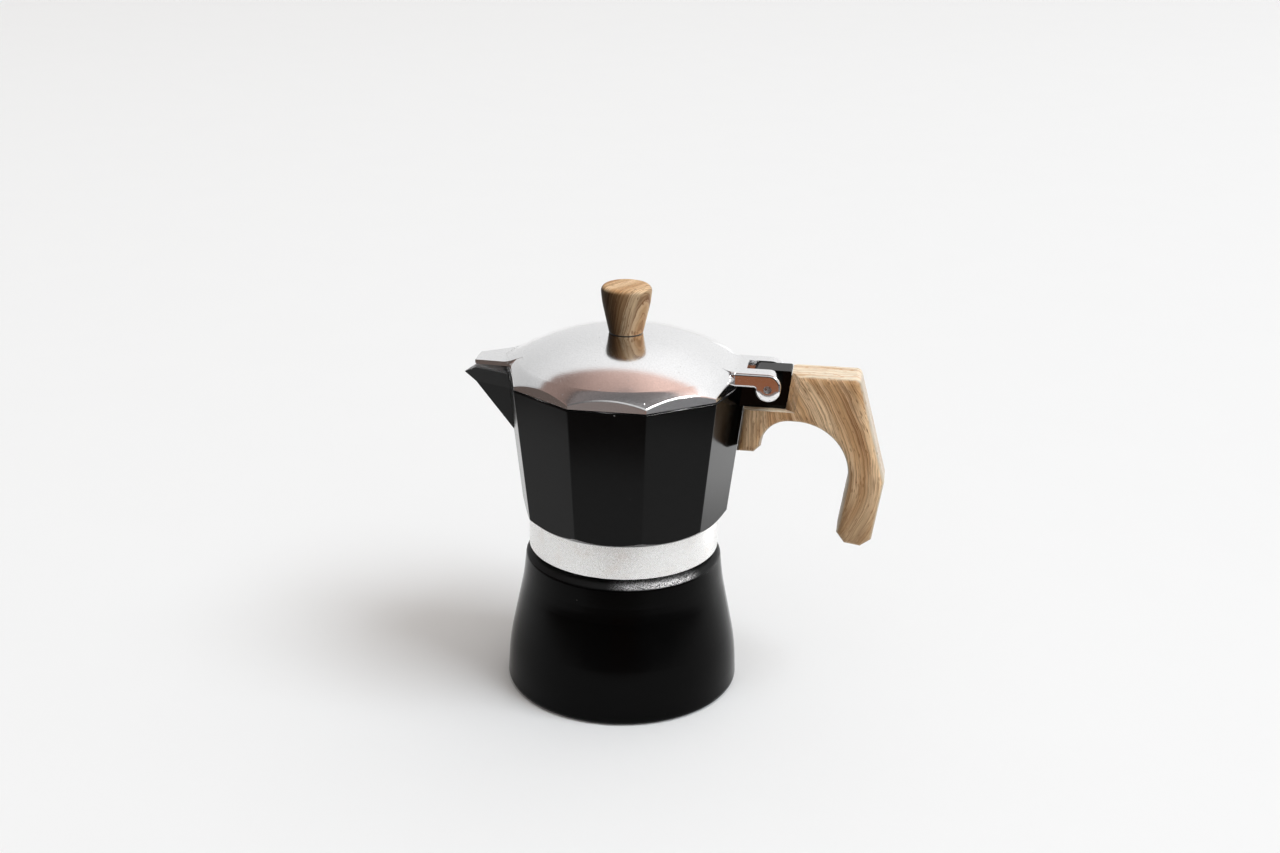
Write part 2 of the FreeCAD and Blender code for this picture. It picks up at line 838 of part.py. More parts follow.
def handle_outline():
    """Corners of the handle's side view, before the lug's place is cut out."""
    lean = math.radians(grip_lean)
    down = Vector(-math.sin(lean), -math.cos(lean), 0)
    across = Vector(math.cos(lean), -math.sin(lean), 0)
    crown_end = handle_front + arch_offset
    arch_left = crown_end - arch_flat - arch_front_radius
    arch_corner = Vector(crown_end + arch_back_radius * math.tan(math.radians(45) + lean / 2), arch_top, 0)
    toe_height = handle_top - handle_length + grip_width * math.sin(lean)
    toe_inner = arch_corner + down * ((arch_top - toe_height) / math.cos(lean))
    toe_outer = toe_inner + across * (grip_width * math.cos(lean))
    elbow_height = handle_top - grip_elbow_drop
    elbow = toe_outer - down * ((elbow_height - toe_outer.y) / math.cos(lean))
    toe = [
        toe_inner - down * toe_chamfer,
        toe_inner + across * toe_chamfer,
        toe_outer - across * toe_chamfer,
        toe_outer - down * toe_chamfer,
    ]
    corners = [
        (facet_corner_radius(handle_top) + handle_clearance, handle_top, 0),
        (facet_corner_radius(foot_bottom) + handle_clearance, foot_bottom, 0),
        (arch_left - foot_chamfer, foot_bottom, 0),
        (arch_left, foot_bottom + foot_chamfer, 0),
        (arch_left, arch_top, arch_front_radius),
        (arch_corner.x, arch_top, arch_back_radius),
    ]
    corners += [(point.x, point.y, 0) for point in toe]
    corners.append((elbow.x, elbow.y, grip_elbow_round))
    corners.append((handle_front + handle_top_length, handle_top, handle_top_round))
    return corners


def lug_room():
    """Space for the lug, in front of the handle's upright face and above its foot."""
    lean = lug_lean / (lug_top - lug_bottom)
    bottom = lug_bottom - handle_clearance
    top = lug_top + OVERRUN
    face_bottom = handle_front - lug_lean
    face_top = face_bottom + lean * (top - bottom)
    inside = rim_radius - 2 * lug_root
    room = plate([
        (inside, bottom, 0),
        (face_bottom, bottom, 0),
        (face_top, top, 0),
        (inside, top, 0),
    ], -rim_radius, rim_radius)
    past = handle_half_width + OVERRUN
    spread = cheek_chamfer * (past - lug_half_width) / (handle_half_width - lug_half_width)
    for side in (-1, 1):
        corners = [
            Vector(face_bottom, side * lug_half_width, bottom),
            Vector(face_bottom + spread, side * past, bottom),
            Vector(face_bottom - OVERRUN, side * past, bottom),
        ]
        cheek = Part.Face(Part.makePolygon(corners + corners[:1]))
        room = room.fuse(cheek.extrude(Vector(face_top - face_bottom, 0, top - bottom)))
    return room


def make_handle():
    solid = plate(handle_outline(), -handle_half_width, handle_half_width)
    side_edges = [edge for edge in solid.Edges if edge.BoundBox.YLength < TINY]
    solid = solid.makeFillet(handle_round, side_edges)
    solid = solid.cut(lug_room())
    low = Vector(handle_front - OVERRUN, -tang_half_width - tang_clearance, tang_bottom - tang_clearance)
    high = Vector(lug_end + tang_length, tang_half_width, tang_bottom + tang_height)
    room = Vector(tang_clearance, tang_clearance, tang_clearance)
    solid = solid.cut(block(low, high + room))
    washer_top = handle_screw_face + handle_washer_thickness
    sink_radius = handle_washer_radius + head_clearance
    solid = solid.cut(rod(sink_radius, arch_top - OVERRUN, washer_top, handle_screw_x))
    return solid.cut(rod(handle_screw_radius + screw_clearance, arch_top, screw_tip, handle_screw_x))


def make_handle_washer():
    top = handle_screw_face + handle_washer_thickness
    washer = rod(handle_washer_radius, handle_screw_face, top, handle_screw_x)
    return washer.cut(rod(handle_screw_radius + screw_clearance, handle_screw_face, top, handle_screw_x))


def make_handle_screw():
    solid = screw(
        handle_screw_head_radius, handle_screw_head, handle_screw_radius,
        screw_tip - screw_clearance - handle_screw_face)
    solid.translate(Vector(handle_screw_x, 0, handle_screw_face - handle_screw_head))
    return solid


def make_valve_body():
    hexagon = [
        (valve_hex_flats / math.sqrt(3) * math.cos(i * math.pi / 3),
         valve_hex_flats / math.sqrt(3) * math.sin(i * math.pi / 3), 0)
        for i in range(6)]
    solid = prism(hexagon, hex_base, hex_top)
    solid = solid.fuse(rod(valve_thread_radius, shank_end, hex_base))
    solid = solid.fuse(rod(valve_nose_radius, hex_top, nose_end))
    solid = solid.cut(rod(valve_bore_radius, seat_face, nose_end))
    return on_valve(solid.cut(rod(valve_seat_radius, shank_end, seat_face)))


def make_valve_washer():
    washer = rod(valve_washer_radius, 0, hex_base)
    return on_valve(washer.cut(rod(valve_thread_radius + valve_thread_clearance, 0, hex_base)))


def make_valve_cap():
    cap = rod(valve_bore_radius - valve_cap_clearance, cap_base, nose_end)
    return on_valve(cap.cut(rod(plunger_stem_radius + plunger_clearance, cap_base, nose_end)))


def make_valve_plunger():
    stem_end = nose_end + plunger_tip
    return on_valve(turned([
        (0, head_base, 0),
        (plunger_head_radius, head_base, 0),
        (plunger_head_radius, head_top, 0),
        (plunger_stem_radius, head_top, 0),
        (plunger_stem_radius, stem_end, plunger_tip_round),
        (0, stem_end, 0),
    ]))


def make_valve_seal():
    return on_valve(rod(plunger_head_radius, seat_face, head_base))


def make_valve_spring():
    """One unbroken helix from the plunger's head to the cap."""
    start = head_top + spring_wire_radius + spring_gap
    length = cap_base - spring_gap - spring_wire_radius - start
    path = Part.Wire(Part.makeHelix(length / spring_turns, length, spring_mean_radius))
    wire = Part.Wire(Part.makeCircle(spring_wire_radius, Vector(spring_mean_radius, 0, 0), Vector(0, 1, 0)))
    spring = path.makePipeShell([wire], True, True)
    spring.translate(Vector(0, 0, start))
    return on_valve(spring)


PIECES = {
    "boiler": make_boiler,
    "valve_body": make_valve_body,
    "valve_washer": make_valve_washer,
    "valve_plunger": make_valve_plunger,
    "valve_seal": make_valve_seal,
    "valve_spring": make_valve_spring,
    "valve_cap": make_valve_cap,
    "funnel": make_funnel,
    "funnel_screen": make_funnel_screen,
    "gasket": make_gasket,
    "filter_plate": make_filter_plate,
    "collector": make_collector,
    "riser_column": make_riser_column,
    "lid": make_lid,
    "hinge_pin": make_hinge_pin,
    "knob": make_knob,
    "knob_washer": make_knob_washer,
    "knob_screw": make_knob_screw,
    "handle": make_handle,
    "handle_washer": make_handle_washer,
    "handle_screw": make_handle_screw,
}

os.makedirs("parts", exist_ok=True)
for name, make in PIECES.items():
    make().exportStep("parts/" + name + ".step")
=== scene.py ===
import math

import bmesh
import bpy
from bpy.props import FloatProperty, FloatVectorProperty, PointerProperty
from bpy.types import Operator, Panel, PropertyGroup
from mathutils import Matrix, Quaternion, Vector


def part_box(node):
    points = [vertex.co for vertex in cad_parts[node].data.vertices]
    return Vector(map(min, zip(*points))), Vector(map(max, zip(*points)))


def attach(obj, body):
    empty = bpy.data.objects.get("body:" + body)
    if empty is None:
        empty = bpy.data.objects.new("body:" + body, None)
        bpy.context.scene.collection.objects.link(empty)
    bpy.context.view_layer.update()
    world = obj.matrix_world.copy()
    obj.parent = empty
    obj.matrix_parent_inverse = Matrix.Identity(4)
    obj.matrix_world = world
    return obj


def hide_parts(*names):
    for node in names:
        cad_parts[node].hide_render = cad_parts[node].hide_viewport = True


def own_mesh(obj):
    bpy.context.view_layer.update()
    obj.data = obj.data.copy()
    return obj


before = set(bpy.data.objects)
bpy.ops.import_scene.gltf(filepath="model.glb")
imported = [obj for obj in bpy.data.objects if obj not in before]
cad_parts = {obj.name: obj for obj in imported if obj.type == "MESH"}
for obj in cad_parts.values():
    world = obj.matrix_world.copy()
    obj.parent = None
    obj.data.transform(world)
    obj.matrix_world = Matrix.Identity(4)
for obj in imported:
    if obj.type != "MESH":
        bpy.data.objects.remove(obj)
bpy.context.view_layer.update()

bl_info = {
    "name": "Stovetop coffee pot",
    "version": (1, 0, 0),
    "blender": (4, 5, 0),
    "location": "3D View > Sidebar > Coffee pot",
    "description": "Paint, metal and wood-effect finishes of a coffee pot, and its studio stage",
    "category": "Object",
}

MM = 1000.0

# Places and sizes on the pot, in millimetres from the middle of its base.
BOILER_WALL_FOOT = 44.4
BOILER_WALL_LEAN = 0.1387
BOILER_SHOULDER = 53.5
BOILER_NECK = 56.0
BAND_TOP = 70.6
BAND_BORE = 35.5
FACET_CORNER = 39.9
FACET_LEAN = 0.1183
PAINT_EDGE = 0.6
PAINT_FILM = 0.05
RIM = 126.4
RIM_RADIUS = 44.0
LUG_FRONT = 44.0
PIN_X = 54.8
PIN_Z = 127.2
HANDLE_BEND = 90.0
SPRING_WIRE = 0.28
SPRING_TURNS = 6
HALF_FACET = math.radians(18)
LID_FLAT = 46.3 * math.cos(HALF_FACET)

# Level directions across the pot, as x and y.
# The side where the boiler's shoulder is rubbed bare to make a painted glint.
RUBBED_GLINT_SIDE = (0.5, -0.866)
# The knob's grain runs across the next direction, and its painted shade deepens against it.
KNOB_GRAIN_AND_LIGHT = (0.875, -0.485)

SPRING_STEPS = 24
WIRE_SIDES = 12
FLOOR_SIDES = 128
SENSOR_WIDTH = 36.0
UP = Vector((0, 0, 1))
POT_MIDDLE = Vector((0, 0, 0.08))
WHITE = (1.0, 1.0, 1.0)
PALE_GROUND = (0.9, 0.9, 0.9)


def rgba(colour):
    """A colour with full cover, as colour sockets take it."""
    return (*colour, 1.0)


class Wire:
    """A node's socket. Each sign that is used on it adds one Math node."""

    def __init__(self, sheet, socket):
        self.sheet = sheet
        self.socket = socket

    def math(self, operation, first, second=0.0):
        return self.sheet.node("ShaderNodeMath", {"operation": operation}, {0: first, 1: second})

    def __add__(self, other):
        return self.math("ADD", self, other)

    def __radd__(self, other):
        return self.math("ADD", other, self)

    def __sub__(self, other):
        return self.math("SUBTRACT", self, other)

    def __rsub__(self, other):
        return self.math("SUBTRACT", other, self)

    def __mul__(self, other):
        return self.math("MULTIPLY", self, other)

    def __rmul__(self, other):
        return self.math("MULTIPLY", other, self)

    def __truediv__(self, other):
        return self.math("DIVIDE", self, other)

    def __rtruediv__(self, other):
        return self.math("DIVIDE", other, self)

    def __pow__(self, other):
        return self.math("POWER", self, other)

    def __abs__(self):
        return self.math("ABSOLUTE", self)

    def __lt__(self, other):
        return self.math("LESS_THAN", self, other)

    def __gt__(self, other):
        return self.math("GREATER_THAN", self, other)

    def least(self, other):
        return self.math("MINIMUM", self, other)

    def most(self, other):
        return self.math("MAXIMUM", self, other)

    def step(self, low, high):
        """Rises smoothly from 0 at low to 1 at high; falls where low is the larger."""
        sockets = {"Value": self, "From Min": low, "From Max": high}
        return self.sheet.node("ShaderNodeMapRange", {"interpolation_type": "SMOOTHSTEP"}, sockets)


class Sheet:
    """A node tree that is filled through one method."""

    def __init__(self, tree):
        tree.nodes.clear()
        self.tree = tree

    def node(self, kind, settings=None, sockets=None, output=0):
        """Adds a node: its settings first, then the values or links of its sockets."""
        made = self.tree.nodes.new(kind)
        for name, value in (settings or {}).items():
            if name == "stops":
                self.set_stops(made.color_ramp, value)
            else:
                setattr(made, name, value)
        for key, value in (sockets or {}).items():
            if isinstance(value, Wire):
                self.tree.links.new(value.socket, made.inputs[key])
            else:
                made.inputs[key].default_value = value
        return Wire(self, made.outputs[output]) if len(made.outputs) else None

    @staticmethod
    def set_stops(ramp, stops):
        while len(ramp.elements) > 1:
            ramp.elements.remove(ramp.elements[-1])
        ramp.elements[0].position = stops[0][0]
        ramp.elements[0].color = rgba(stops[0][1])
        for place, colour in stops[1:]:
            ramp.elements.new(place).color = rgba(colour)

    def outputs(self, wire):
        """Every output of the node that a wire comes from."""
        return [Wire(self, socket) for socket in wire.socket.node.outputs]

    def split(self, vector):
        return self.outputs(self.node("ShaderNodeSeparateXYZ", {}, {0: vector}))

    def join(self, x, y, z):
        return self.node("ShaderNodeCombineXYZ", {}, {0: x, 1: y, 2: z})

    def dot(self, vector, other):
        settings = {"operation": "DOT_PRODUCT"}
        return self.node("ShaderNodeVectorMath", settings, {0: vector, 1: other}, 1)

    def blend(self, share, low, high):
        """A colour between two colours."""
        ends = [end if isinstance(end, Wire) else rgba(end) for end in (low, high)]
        sockets = {0: share, 6: ends[0], 7: ends[1]}
        return self.node("ShaderNodeMix", {"data_type": "RGBA"}, sockets, 2)

    def tint(self, colour, strength):
        """A colour made lighter or darker by a number."""
        grey = self.join(strength, strength, strength)
        settings = {"data_type": "RGBA", "blend_type": "MULTIPLY"}
        colour = colour if isinstance(colour, Wire) else rgba(colour)
        return self.node("ShaderNodeMix", settings, {0: 1.0, 6: colour, 7: grey}, 2)

    def noise(self, vector, scale, detail=2.0, roughness=0.5):
        sockets = {"Vector": vector, "Scale": scale, "Detail": detail, "Roughness": roughness}
        return self.node("ShaderNodeTexNoise", {}, sockets)

    def spots(self, vector, spacing, reach, share):
        """Round spots on a loose lattice, with their reach in spacings and the share that is there."""
        cells = self.node("ShaderNodeTexVoronoi", {}, {"Vector": vector, "Scale": 1.0 / spacing})
        distance, colour = self.outputs(cells)[:2]
        chance, size, _ = self.split(colour)
        return distance.step(reach * (0.5 + size), reach * (0.2 + size * 0.4)) * (chance < share)


class Finish(Sheet):
    """A material in the making, with a point's place in millimetres and the way it faces."""

    def __init__(self, name):
        self.material = bpy.data.materials.new(name)
        self.material.use_nodes = True
        super().__init__(self.material.node_tree)
        place = self.node("ShaderNodeTexCoord", output=3)
        scaled = {0: place, "Scale": MM}
        self.place = self.node("ShaderNodeVectorMath", {"operation": "SCALE"}, scaled)
        self.x, self.y, self.z = self.split(self.place)
        self.facing = self.node("ShaderNodeTexCoord", output=1)
        self.face_x, self.face_y, self.face_z = self.split(self.facing)
        self.radius = (self.x * self.x + self.y * self.y) ** 0.5

    def towards(self, direction):
        """How far a point lies in a level direction."""
        return self.x * direction[0] + self.y * direction[1]

    def turned(self, spacing):
        """Lines that a cutting tool leaves round the pot's axis, from -0.5 to 0.5."""
        along = (self.z + self.radius * 0.83) / spacing
        return self.noise(self.join(self.x * 0.04, self.y * 0.04, along), 1.0, 3.0, 0.65) - 0.5

    def surface(self, colour, roughness, metallic=0.0, height=None, **fixed):
        """Ends the sheet. Relief is in millimetres; fixed values go to the shader's own sockets."""
        sockets = {"Base Color": colour, "Roughness": roughness, "Metallic": metallic}
        sockets.update({name.replace("_", " "): value for name, value in fixed.items()})
        if height is not None:
            relief = {"Strength": 1.0, "Distance": 1.0 / MM, "Height": height}
            sockets["Normal"] = self.node("ShaderNodeBump", {}, relief)
        shader = self.node("ShaderNodeBsdfPrincipled", {}, sockets)
        self.node("ShaderNodeOutputMaterial", {}, {"Surface": shader})
        return self.material


class PotColours(PropertyGroup):
    """Colours of the pot's finishes."""

    paint: FloatVectorProperty(
        name="Black paint", description="Satin paint on the boiler and the collector",
        default=(0.0009, 0.0009, 0.0009), subtype="COLOR", min=0, max=1)
    band: FloatVectorProperty(
        name="Band", description="Bare turned band round the collector's foot",
        default=(0.925, 0.92, 0.91), subtype="COLOR", min=0, max=1)
    polished: FloatVectorProperty(
        name="Polished aluminium", description="The lid",
        default=(0.92, 0.92, 0.925), subtype="COLOR", min=0, max=1)
    bare: FloatVectorProperty(
        name="Bare aluminium", description="Cast, turned and pressed aluminium inside the pot",
        default=(0.74, 0.74, 0.745), subtype="COLOR", min=0, max=1)
    wood_pale: FloatVectorProperty(
        name="Pale wood", description="Ground of the wood-effect print",
        default=(0.91, 0.665, 0.41), subtype="COLOR", min=0, max=1)
    wood_mid: FloatVectorProperty(
        name="Middle wood", description="Bands of the wood-effect print",
        default=(0.64, 0.385, 0.19), subtype="COLOR", min=0, max=1)
    wood_dark: FloatVectorProperty(
        name="Dark wood", description="Lines and pores of the wood-effect print",
        default=(0.22, 0.083, 0.027), subtype="COLOR", min=0, max=1)
    edge_pale: FloatVectorProperty(
        name="Pale edge", description="Ground of the print on the handle's narrow faces",
        default=(0.95, 0.85, 0.68), subtype="COLOR", min=0, max=1)
    edge_mid: FloatVectorProperty(
        name="Middle edge", description="Bands of the print on the handle's narrow faces",
        default=(0.89, 0.71, 0.49), subtype="COLOR", min=0, max=1)
    edge_dark: FloatVectorProperty(
        name="Dark edge", description="Lines of the print on the handle's narrow faces",
        default=(0.62, 0.34, 0.15), subtype="COLOR", min=0, max=1)
    brass: FloatVectorProperty(
        name="Brass", description="The safety valve's body and cap",
        default=(0.73, 0.50, 0.21), subtype="COLOR", min=0, max=1)
    steel: FloatVectorProperty(
        name="Steel", description="Pin, screws, plunger and spring",
        default=(0.55, 0.55, 0.56), subtype="COLOR", min=0, max=1)
    pale_rubber: FloatVectorProperty(
        name="Pale rubber", description="The gasket",
        default=(0.62, 0.59, 0.52), subtype="COLOR", min=0, max=1)
    dark_rubber: FloatVectorProperty(
        name="Dark rubber", description="The valve's seal and washer, and the knob's washer",
        default=(0.012, 0.012, 0.013), subtype="COLOR", min=0, max=1)


class PotGrain(PropertyGroup):
    """Scale of the detail in the pot's finishes."""

    paint_grain: FloatProperty(
        name="Paint grain", description="Width of the grains in the paint",
        default=0.00035, unit="LENGTH", min=0.00005)
    turned_line: FloatProperty(
        name="Turned line", description="Spacing of the lines on turned metal",
        default=0.00022, unit="LENGTH", min=0.00005)
    polish_grain: FloatProperty(
        name="Polish grain", description="Width of the grains in the polished lid",
        default=0.0005, unit="LENGTH", min=0.00005)
    wood_line: FloatProperty(
        name="Wood line", description="Spacing of the lines in the wood-effect print",
        default=0.0016, unit="LENGTH", min=0.0002)


class PotStage(PropertyGroup):
    """Camera, lights and floor."""

    camera_place: FloatVectorProperty(
        name="Camera", description="Where the camera stands",
        default=(0.09563, -0.63084, 0.34609), subtype="TRANSLATION", unit="LENGTH")
    camera_aim: FloatVectorProperty(
        name="Aim", description="The point at the middle of the picture",
        default=(0.006, -0.0011, 0.1057), subtype="TRANSLATION", unit="LENGTH")
    camera_roll: FloatProperty(
        name="Roll", description="Turn of the camera about its line of sight",
        default=math.radians(0.875), subtype="ANGLE")
    lens: FloatProperty(
        name="Lens", description="Focal length on a 36 mm wide sensor",
        default=50.0, unit="CAMERA", min=1)
    floor_radius: FloatProperty(
        name="Floor", description="Radius of the floor", default=8.0, unit="LENGTH", min=1)
    floor: FloatVectorProperty(
        name="Floor colour", description="Pale floor",
        default=(0.9, 0.909, 0.913), subtype="COLOR", min=0, max=1)
    key_turn: FloatProperty(
        name="Key light's side", description="How far right of the camera the key light stands",
        default=math.radians(65), subtype="ANGLE")
    key_rise: FloatProperty(
        name="Key light's height", description="Height of the key light over the horizon",
        default=math.radians(53), subtype="ANGLE")
    light_distance: FloatProperty(
        name="Lights' distance", description="Distance of both lights from the pot",
        default=10.0, unit="LENGTH", min=0.3)
    key_size: FloatProperty(
        name="Key light's size", description="Side of the square key light",
        default=5.0, unit="LENGTH", min=0.05)
    key_power: FloatProperty(
        name="Key light's power", description="Power of the key light",
        default=565.0, unit="POWER", min=0)
    key_colour: FloatVectorProperty(
        name="Key light's colour", description="Colour of the key light",
        default=(0.90, 0.955, 1.0), subtype="COLOR", min=0, max=1)
    strip_turn: FloatProperty(
        name="Strip light's side", description="How far right of the camera the strip light stands",
        default=math.radians(60), subtype="ANGLE")
    strip_rise: FloatProperty(
        name="Strip light's height", description="Height of the strip light over the horizon",
        default=math.radians(44), subtype="ANGLE")
    strip_length: FloatProperty(
        name="Strip light's length", description="Length of the strip light that edges mirror",
        default=6.0, unit="LENGTH", min=0.05)
    strip_width: FloatProperty(
        name="Strip light's width", description="Width of the strip light",
        default=0.8, unit="LENGTH", min=0.05)
    strip_power: FloatProperty(
        name="Strip light's power", description="Power of the strip light",
        default=1800.0, unit="POWER", min=0)


def dress(finish, *nodes):
    """Puts a finish on CAD nodes in place of their plain colour."""
    for node in nodes:
        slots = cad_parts[node].material_slots
        if not slots:
            raise RuntimeError(f"{node} has no place for its finish")
        for slot in slots:
            slot.material = finish


def paint_coat(sheet, colours, grain):
    """Satin paint with a fine grain: its colour, roughness and relief."""
    wave = sheet.noise(sheet.place, 0.12, 2.0) - 0.5
    peel = sheet.noise(sheet.place, 0.9, 2.0) - 0.5
    grit = sheet.noise(sheet.place, 0.001 / grain.paint_grain, 2.0) - 0.5
    dust = sheet.spots(sheet.place, 7.0, 0.028, 0.3)
    colour = sheet.tint(colours.paint, 1.0 + wave * 0.5 + grit * 0.8)
    colour = sheet.blend(dust * 0.6, colour, (0.16, 0.155, 0.15))
    roughness = 0.16 + wave * 0.06 + peel * 0.05
    height = peel * 0.004 + grit * 0.0028
    return colour, roughness, height


def bare_cast(sheet, colours, grain):
    """Bare aluminium with turned lines and a mottled skin."""
    lines = sheet.turned(grain.turned_line * MM)
    skin = sheet.noise(sheet.place, 0.35, 4.0, 0.6) - 0.5
    colour = sheet.tint(colours.bare, 1.0 + skin * 0.28 + lines * 0.12)
    roughness = 0.4 + skin * 0.2 + lines * 0.14
    height = lines * 0.006 + skin * 0.01
    return colour, roughness, height


def paint_over(sheet, colours, grain, bare, bare_look=None):
    """Paint where the bare mask is 0 and metal where it is 1."""
    coat = paint_coat(sheet, colours, grain)
    metal = bare_look or bare_cast(sheet, colours, grain)
    colour = sheet.blend(bare, coat[0], metal[0])
    roughness = coat[1] + (metal[1] - coat[1]) * bare
    height = (coat[2] + PAINT_FILM) * (1.0 - bare) + metal[2] * bare
    return colour, roughness, height


def chips(sheet, near):
    """Small chips in the paint, where near is 1."""
    ragged = (sheet.noise(sheet.place, 2.4, 3.0, 0.7) - 0.5) * 0.3
    spread = sheet.spots(sheet.place, 2.6, 0.17, 0.16)
    return (spread + ragged * spread) * near


class POT_OT_boiler(Operator):
    """Paints the boiler black, but for its bare neck and inside and its worn shoulder, which is rubbed
    bare in sparkles on the side between the camera and the strip light, a painted glint.
    """

    bl_idname = "coffee_pot.boiler"
    bl_label = "Boiler"

    def execute(self, context):
        colours, grain = context.scene.pot_colours, context.scene.pot_grain
        sheet = Finish("boiler_paint")
        ragged = (sheet.noise(sheet.place, 1.2, 3.0) - 0.5) * 0.5
        wall = BOILER_WALL_FOOT - sheet.z * BOILER_WALL_LEAN
        inside = (sheet.radius < wall + ragged) * (sheet.z < BOILER_SHOULDER)
        neck = sheet.z + ragged > BOILER_NECK
        foot = chips(sheet, sheet.z.step(2.4, 0.6))
        sparkle = sheet.noise(sheet.place, 3.0, 2.0, 0.7).step(0.4, 0.66)
        worn = sheet.face_z.step(0.25, 0.5) * sheet.z.step(50.0, 52.0) * (sheet.z < BOILER_NECK)
        # Painted glint: the shoulder is worn a little all round, and rubbed bare in sparkles only on
        # the side where the strip light mirrors towards the camera.
        rubbed_glint_patch = (sheet.towards(RUBBED_GLINT_SIDE) / sheet.radius).step(0.85, 1.0)
        bare = inside.most(neck).most(foot).most(worn * (0.02 + rubbed_glint_patch * sparkle * 0.98))
        look = paint_over(sheet, colours, grain, bare)
        rough = look[1] + worn * 0.2
        finish = sheet.surface(look[0], rough, bare, look[2], Specular_IOR_Level=0.07)
        dress(finish, "boiler")
        return {"FINISHED"}


class POT_OT_collector(Operator):
    """Paints the collector's facets, spout and lug black, and turns its band bright."""

    bl_idname = "coffee_pot.collector"
    bl_label = "Collector"

    def execute(self, context):
        colours, grain = context.scene.pot_colours, context.scene.pot_grain
        sheet = Finish("collector_paint")
        ragged = sheet.noise(sheet.place, 0.8, 4.0, 0.65) - 0.5
        band = sheet.z < BAND_TOP + ragged * 0.3
        outward = sheet.face_x * sheet.x + sheet.face_y * sheet.y
        facet = (FACET_CORNER + (sheet.z - BAND_TOP) * FACET_LEAN) * math.cos(HALF_FACET)
        within = sheet.radius < facet - PAINT_EDGE
        inside = within.most(outward < -0.5) * (sheet.x < LUG_FRONT)
        rim = (sheet.z > RIM - 0.12 + ragged * 0.5) * (sheet.radius < RIM_RADIUS)
        edge = chips(sheet, sheet.z.step(RIM - 2.0, RIM - 0.6) * (sheet.x < LUG_FRONT))
        bare = band.most(inside).most(rim).most(edge)
        lines = sheet.turned(grain.turned_line * MM)
        blotch = sheet.noise(sheet.place, 0.14, 3.0, 0.6)
        sand = sheet.noise(sheet.place, 2.6, 2.0) - 0.5
        cast = bare_cast(sheet, colours, grain)
        satin = sheet.blend(blotch.step(0.5, 0.75) * 0.3, colours.band, (0.80, 0.72, 0.66))
        satin = sheet.tint(satin, 1.0 + lines * 0.1 + sand * 0.14)
        outer_band = band * (1.0 - (sheet.radius < BAND_BORE))
        metal = (
            sheet.blend(outer_band, cast[0], satin),
            cast[1] + (0.28 + sand * 0.14 - cast[1]) * outer_band,
            cast[2] + (lines * 0.006 + sand * 0.005 - cast[2]) * outer_band,
        )
        look = paint_over(sheet, colours, grain, bare, metal)
        metallic = bare * (1.0 - outer_band * 0.2)
        finish = sheet.surface(look[0], look[1], metallic, look[2], Specular_IOR_Level=0.15)
        dress(finish, "collector")
        return {"FINISHED"}


class POT_OT_lid(Operator):
    """Polishes the lid, with a fine grain, small pits, worn edges and a duller underside."""

    bl_idname = "coffee_pot.lid"
    bl_label = "Lid"

    def execute(self, context):
        colours, grain = context.scene.pot_colours, context.scene.pot_grain
        sheet = Finish("lid_polish")
        under = sheet.face_z.step(-0.15, -0.45)
        fine = sheet.noise(sheet.place, 0.001 / grain.polish_grain, 2.0) - 0.5
        cloud = sheet.noise(sheet.place, 0.07, 3.0, 0.6) - 0.5
        pits = sheet.spots(sheet.place, 1.9, 0.1, 0.45)
        lines = sheet.turned(grain.turned_line * MM)
        turn = sheet.x.math("ARCTAN2", sheet.y, sheet.x)
        turn = turn.math("PINGPONG", turn, HALF_FACET) - HALF_FACET
        reach = sheet.radius * turn.math("COSINE", turn)
        worn = ((reach - LID_FLAT) / 0.55 + 1.0).most(0.0).least(1.0) * (sheet.x < LUG_FRONT)
        eye = ((sheet.x - PIN_X) ** 2.0 + (sheet.z - PIN_Z) ** 2.0) ** 0.5
        below_pin = sheet.z.step(PIN_Z - 0.2, PIN_Z - 2.6)
        dished = (eye + cloud).step(1.8, 5.4) * below_pin * abs(sheet.face_y)
        shade = 1.0 + fine * 0.3 + cloud * 0.06 - pits * 0.22 - under * 0.14
        roughness = 0.12 + cloud * 0.06 + fine * 0.08 + under * (0.2 + lines * 0.15)
        height = fine * 0.009 - pits * 0.05 + under * lines * 0.006
        height = height - worn * worn * 0.2 - dished * 0.42
        colour = sheet.tint(colours.polished, shade)
        dress(sheet.surface(colour, roughness, 1.0, height), "lid")
        return {"FINISHED"}


